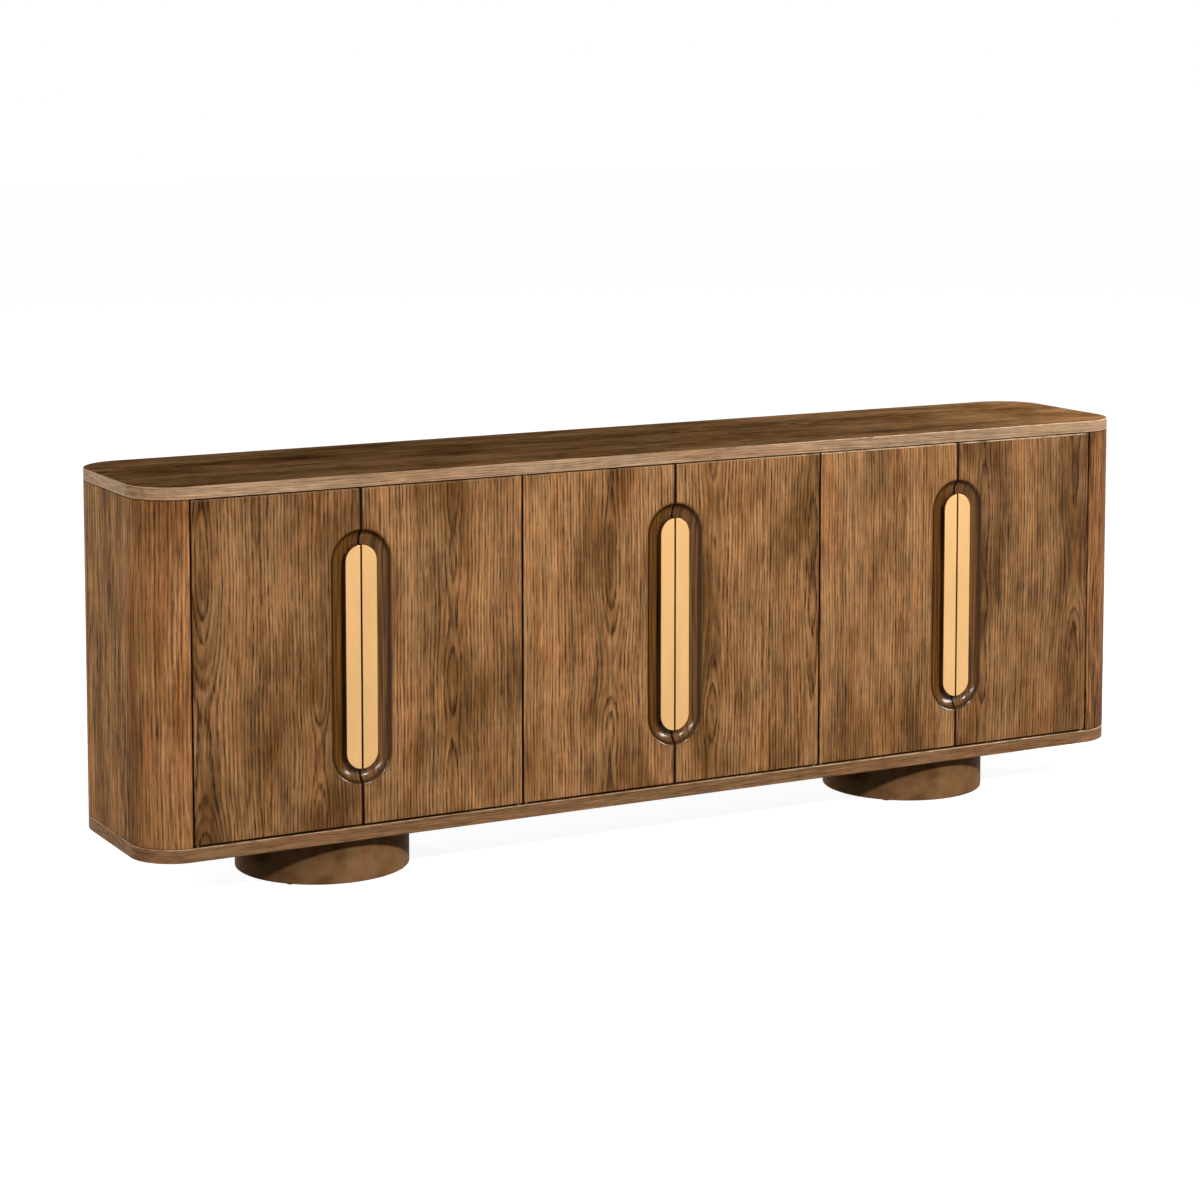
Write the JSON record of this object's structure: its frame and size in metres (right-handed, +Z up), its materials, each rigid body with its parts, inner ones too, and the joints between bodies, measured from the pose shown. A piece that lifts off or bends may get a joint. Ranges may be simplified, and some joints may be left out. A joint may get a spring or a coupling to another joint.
{
  "type": "sideboard",
  "caption": "Long low sideboard with round corners on drum plinths; paired doors share stadium-shaped scoops with brass pulls and swing on pivot hinges.",
  "frame": {"origin": "on the floor, under the middle of the case", "axes": "+Z up, +X along the length to the right seen from the front, the doors face -Y"},
  "size_m": [2.44, 0.44, 0.868],
  "materials": {
    "slab_veneer": "satin lacquer on stained veneer, grain along the length",
    "case_veneer": "satin lacquer on stained veneer, upright grain",
    "door_veneer": "satin lacquer on stained veneer, upright grain, dark gloss scoop",
    "inner_veneer": "matt stained veneer",
    "plinth_veneer": "dark satin lacquer",
    "brass": "pale satin",
    "hinge_steel": "antique satin",
    "zinc_steel": "zinc plated",
    "magnet": "nickel plated",
    "catch_plastic": "matt",
    "glide_nylon": "matt"
  },
  "bodies": {
    "carcass": {"back_cleats": "inner_veneer", "back_left_corner": "case_veneer", "back_right_corner": "case_veneer", "back_screws": "zinc_steel", "base_slab": "slab_veneer", "catch_housings": "catch_plastic", "catch_magnets": "magnet", "catch_screws": "zinc_steel", "fixed_hinge_leaves": "hinge_steel", "front_left_corner": "case_veneer", "front_right_corner": "case_veneer", "hinge_pins": "hinge_steel", "left_back_panel": "inner_veneer", "left_end_panel": "case_veneer", "left_inner_side": "inner_veneer", "left_partition": "inner_veneer", "left_plinth_disc": "plinth_veneer", "left_plinth_shell": "plinth_veneer", "left_shelf": "inner_veneer", "middle_back_panel": "inner_veneer", "middle_shelf": "inner_veneer", "plinth_glides": "glide_nylon", "plinth_screws": "zinc_steel", "right_back_panel": "inner_veneer", "right_end_panel": "case_veneer", "right_inner_side": "inner_veneer", "right_partition": "inner_veneer", "right_plinth_disc": "plinth_veneer", "right_plinth_shell": "plinth_veneer", "right_shelf": "inner_veneer", "shelf_pins": "zinc_steel", "top_slab": "slab_veneer"},
    "door_1": {"door_1_panel": "door_veneer", "door_1_pull_plate": "brass", "door_1_hinge_leaves": "hinge_steel", "door_1_strike_plate": "zinc_steel"},
    "door_2": {"door_2_panel": "door_veneer", "door_2_pull_plate": "brass", "door_2_hinge_leaves": "hinge_steel", "door_2_strike_plate": "zinc_steel"},
    "door_3": {"door_3_panel": "door_veneer", "door_3_pull_plate": "brass", "door_3_hinge_leaves": "hinge_steel", "door_3_strike_plate": "zinc_steel"},
    "door_4": {"door_4_panel": "door_veneer", "door_4_pull_plate": "brass", "door_4_hinge_leaves": "hinge_steel", "door_4_strike_plate": "zinc_steel"},
    "door_5": {"door_5_panel": "door_veneer", "door_5_pull_plate": "brass", "door_5_hinge_leaves": "hinge_steel", "door_5_strike_plate": "zinc_steel"},
    "door_6": {"door_6_panel": "door_veneer", "door_6_pull_plate": "brass", "door_6_hinge_leaves": "hinge_steel", "door_6_strike_plate": "zinc_steel"}
  },
  "joints": [
    {"name": "door_1_hinge", "type": "hinge", "parent": "carcass", "child": "door_1", "pos_m": [-1.109, -0.213, 0.486], "axis": [0, 0, -1], "range_deg": [0, 110]},
    {"name": "door_2_hinge", "type": "hinge", "parent": "carcass", "child": "door_2", "pos_m": [-0.38233, -0.213, 0.486], "axis": [0, 0, 1], "range_deg": [0, 90]},
    {"name": "door_3_hinge", "type": "hinge", "parent": "carcass", "child": "door_3", "pos_m": [-0.36333, -0.213, 0.486], "axis": [0, 0, -1], "range_deg": [0, 90]},
    {"name": "door_4_hinge", "type": "hinge", "parent": "carcass", "child": "door_4", "pos_m": [0.36333, -0.213, 0.486], "axis": [0, 0, 1], "range_deg": [0, 90]},
    {"name": "door_5_hinge", "type": "hinge", "parent": "carcass", "child": "door_5", "pos_m": [0.38233, -0.213, 0.486], "axis": [0, 0, -1], "range_deg": [0, 90]},
    {"name": "door_6_hinge", "type": "hinge", "parent": "carcass", "child": "door_6", "pos_m": [1.109, -0.213, 0.486], "axis": [0, 0, 1], "range_deg": [0, 110]}
  ]
}
